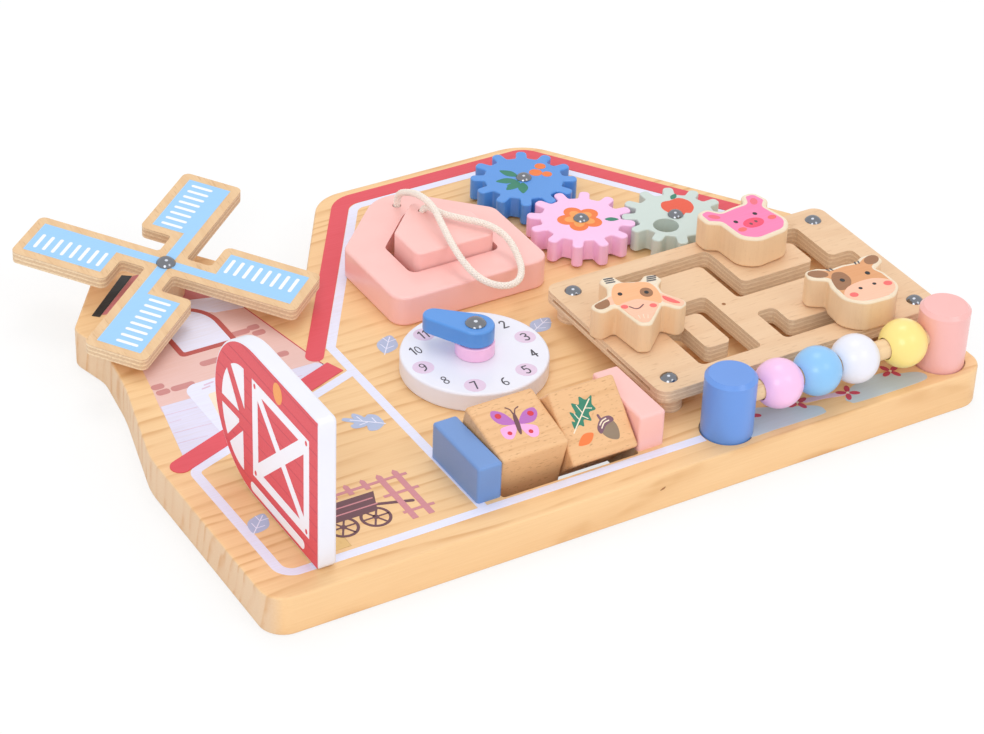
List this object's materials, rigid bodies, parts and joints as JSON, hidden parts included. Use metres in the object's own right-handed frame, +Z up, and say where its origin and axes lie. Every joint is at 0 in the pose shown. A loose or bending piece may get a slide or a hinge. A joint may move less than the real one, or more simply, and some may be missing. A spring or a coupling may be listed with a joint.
{
  "type": "wooden busy board",
  "caption": "Barn-shaped wooden board for small children with a turning windmill, meshing gears, a clock, turning cubes, sliding beads and heads, a swinging door and a tethered puzzle.",
  "frame": {"origin": "middle of the board's outline, on its flat underside", "axes": "+X along the straight front edge to the right, +Y from the front edge to the barn's ridge, +Z up out of the board"},
  "size_m": [0.3804, 0.2987, 0.0975],
  "materials": {
    "board_pine": "satin pine with a clear coat",
    "plywood": "satin plywood with layered edges",
    "beech": "satin beech",
    "cube_beech": "satin beech",
    "blue_paint": "satin paint",
    "deep_blue_paint": "satin paint",
    "pink_paint": "satin paint",
    "rose_paint": "satin paint",
    "green_paint": "satin paint",
    "white_paint": "satin paint",
    "yellow_paint": "satin paint",
    "light_blue_paint": "satin paint",
    "screw_steel": "bright nickel plate",
    "hinge_steel": "satin steel",
    "wood_screw_steel": "satin steel",
    "cord": "braided cotton"
  },
  "bodies": {
    "board": {"base_board": "board_pine", "underside_screws": "wood_screw_steel", "windmill_spacer": "board_pine", "windmill_screw": "screw_steel", "hinge_board_leaves": "hinge_steel", "hinge_pins": "hinge_steel", "hinge_board_screws": "hinge_steel", "puzzle_frame": "rose_paint", "clock_dial": "white_paint", "clock_collar": "pink_paint", "clock_screw": "screw_steel", "gear_washers": "screw_steel", "gear_screws": "screw_steel", "maze_plate": "plywood", "maze_under_plate": "plywood", "maze_standoffs": "beech", "maze_screws": "screw_steel", "bead_rail": "beech", "rail_post_left": "deep_blue_paint", "rail_post_right": "rose_paint", "cube_holder_left": "blue_paint", "cube_holder_right": "rose_paint", "cube_axle": "beech"},
    "windmill": {"windmill_sails": "plywood"},
    "door": {"barn_door": "white_paint", "hinge_door_leaves": "hinge_steel", "hinge_door_screws": "hinge_steel"},
    "clock_hand": {"clock_hand": "deep_blue_paint"},
    "gear_blue": {"gear_blue": "deep_blue_paint"},
    "gear_pink": {"gear_pink": "pink_paint"},
    "gear_green": {"gear_green": "green_paint"},
    "cube_left": {"cube_left": "cube_beech"},
    "cube_right": {"cube_right": "cube_beech"},
    "bead_pink": {"bead_pink": "pink_paint"},
    "bead_blue": {"bead_blue": "light_blue_paint"},
    "bead_white": {"bead_white": "white_paint"},
    "bead_yellow": {"bead_yellow": "yellow_paint"},
    "pig": {"pig_head": "beech", "pig_peg": "beech", "pig_disc": "beech"},
    "goat": {"goat_head": "beech", "goat_peg": "beech", "goat_disc": "beech"},
    "cow": {"cow_head": "beech", "cow_peg": "beech", "cow_disc": "beech"},
    "puzzle_block": {"puzzle_block": "rose_paint", "tether_cord": "cord"}
  },
  "joints": [
    {"name": "windmill_turn", "type": "hinge", "parent": "board", "child": "windmill", "pos_m": [-0.12535, 0.0964, 0.02], "axis": [-0.0219, -0.0946, 0.9953], "continuous": true},
    {"name": "door_swing", "type": "hinge", "parent": "board", "child": "door", "pos_m": [-0.15525, -0.082, 0.0221], "axis": [0, 1, 0], "range_deg": [0, 90]},
    {"name": "clock_hand_turn", "type": "hinge", "parent": "board", "child": "clock_hand", "pos_m": [-0.02695, -0.0305, 0.0373], "axis": [0, 0, 1], "continuous": true},
    {"name": "gear_pink_turn", "type": "hinge", "parent": "board", "child": "gear_pink", "pos_m": [0.07835, 0.0444, 0.0211], "axis": [0, 0, 1], "continuous": true},
    {"name": "gear_blue_turn", "type": "hinge", "parent": "board", "child": "gear_blue", "pos_m": [0.07367, 0.09217, 0.0211], "axis": [0, 0, 1], "continuous": true},
    {"name": "gear_green_turn", "type": "hinge", "parent": "board", "child": "gear_green", "pos_m": [0.1226, 0.0258, 0.0211], "axis": [0, 0, 1], "continuous": true},
    {"name": "cube_left_turn", "type": "hinge", "parent": "board", "child": "cube_left", "pos_m": [-0.04825, -0.0992, 0.025], "axis": [1, 0, 0], "continuous": true},
    {"name": "cube_right_turn", "type": "hinge", "parent": "board", "child": "cube_right", "pos_m": [-0.01325, -0.0992, 0.025], "axis": [1, 0, 0], "continuous": true},
    {"name": "bead_pink_slide", "type": "slide", "parent": "board", "child": "bead_pink", "axis": [1, 0, 0], "range_m": [-0.004, 0.0004]},
    {"name": "bead_blue_slide", "type": "slide", "parent": "board", "child": "bead_blue", "axis": [1, 0, 0], "range_m": [-0.0004, 0.0003]},
    {"name": "bead_white_slide", "type": "slide", "parent": "board", "child": "bead_white", "axis": [1, 0, 0], "range_m": [-0.0003, 0.0066]},
    {"name": "bead_yellow_slide", "type": "slide", "parent": "board", "child": "bead_yellow", "axis": [1, 0, 0], "range_m": [-0.0066, 0.0004]},
    {"name": "pig_slide", "type": "slide", "parent": "board", "child": "pig", "axis": [1, 0, 0], "range_m": [0, 0.0215]},
    {"name": "goat_slide", "type": "slide", "parent": "board", "child": "goat", "axis": [1, 0, 0], "range_m": [0, 0.028]},
    {"name": "cow_slide", "type": "slide", "parent": "board", "child": "cow", "axis": [1, 0, 0], "range_m": [-0.028, 0]},
    {"name": "puzzle_block_lift", "type": "slide", "parent": "board", "child": "puzzle_block", "axis": [0, 0, 1], "range_m": [0, 0.014]}
  ],
  "couplings": [
    {"joint": "gear_blue_turn", "follows": "gear_pink_turn", "ratio": -1},
    {"joint": "gear_green_turn", "follows": "gear_pink_turn", "ratio": -1}
  ]
}
